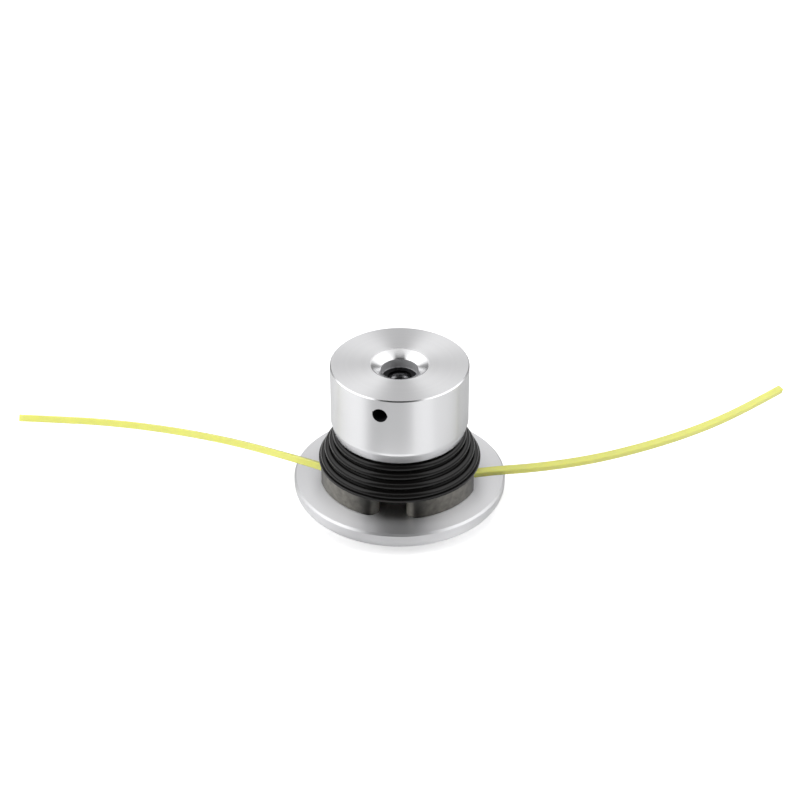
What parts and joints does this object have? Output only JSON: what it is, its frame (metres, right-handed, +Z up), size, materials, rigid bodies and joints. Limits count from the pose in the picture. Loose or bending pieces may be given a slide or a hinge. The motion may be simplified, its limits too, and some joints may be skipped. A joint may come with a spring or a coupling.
{
  "type": "trimmer head",
  "caption": "Fixed-line brush cutter head: turned hub, ribbed rubber boot, notched line guide and domed disc that clamp a square cutting line.",
  "frame": {"origin": "lowest point of the domed base, on the head's axis", "axes": "+Z up along the axis towards the gearbox, -Y towards the viewer, lines leave to -X and +X"},
  "size_m": [0.3301, 0.1052, 0.065],
  "materials": {
    "turned_aluminium": "fine turned, satin",
    "boot_rubber": "moulded, dull sheen",
    "guide_nylon": "moulded, fine grain",
    "black_steel": "black oxide, oiled",
    "zinc_steel": "bright zinc",
    "line_nylon": "translucent, glossy"
  },
  "bodies": {
    "root": {"hub": "turned_aluminium", "base_disc": "turned_aluminium", "ribbed_boot": "boot_rubber", "line_guide": "guide_nylon", "arbor_bush": "black_steel", "clamp_washer": "zinc_steel", "line_post": "zinc_steel", "centre_stud": "zinc_steel", "guide_pins": "zinc_steel", "line_left": "line_nylon", "line_right": "line_nylon"}
  },
  "joints": []
}
